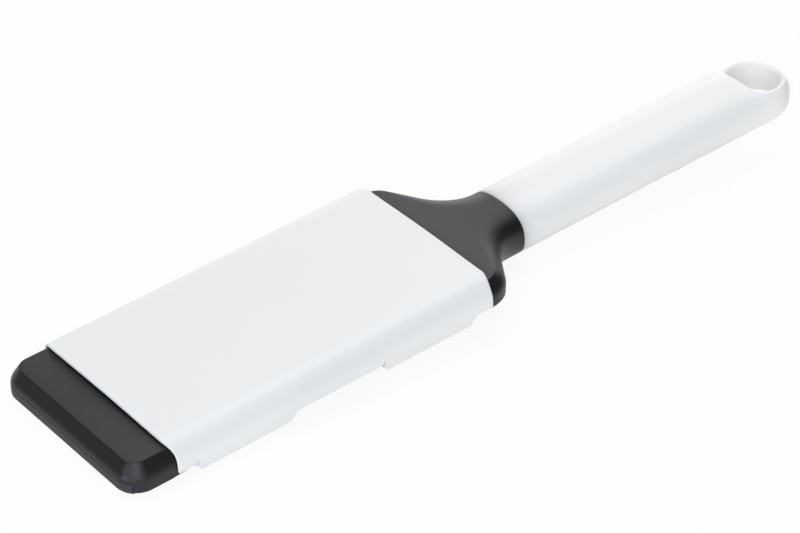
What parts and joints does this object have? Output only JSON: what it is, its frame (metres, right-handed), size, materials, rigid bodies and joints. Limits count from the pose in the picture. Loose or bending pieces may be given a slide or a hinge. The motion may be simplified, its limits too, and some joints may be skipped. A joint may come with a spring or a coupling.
{
  "type": "flat hand grater",
  "caption": "Flat hand grater: oval white handle, black frame around a toothed steel blade, and a white cover that hooks under the frame and slides off over the tip.",
  "frame": {"origin": "centre of the bounding box's bottom face, on the plane under the handle", "axes": "+X from the tip to the handle end, +Y across the blade, +Z out of the grating side"},
  "size_m": [0.32, 0.0764, 0.0233],
  "materials": {
    "black_plastic": "satin moulded ABS",
    "soft_black": "matte soft thermoplastic",
    "steel": "pressed stainless sheet",
    "retainer_plastic": "satin moulded ABS",
    "white_plastic": "semi-gloss moulded ABS",
    "cover_plastic": "semi-gloss moulded ABS"
  },
  "bodies": {
    "grater": {"frame": "black_plastic", "tip_foot": "soft_black", "grating_blade": "steel", "blade_retainer": "retainer_plastic", "handle_shell": "white_plastic"},
    "cover": {"blade_cover": "cover_plastic"}
  },
  "joints": [
    {"name": "cover_slide", "type": "slide", "parent": "grater", "child": "cover", "axis": [-1, 0, 0], "range_m": [0, 0.155]}
  ]
}
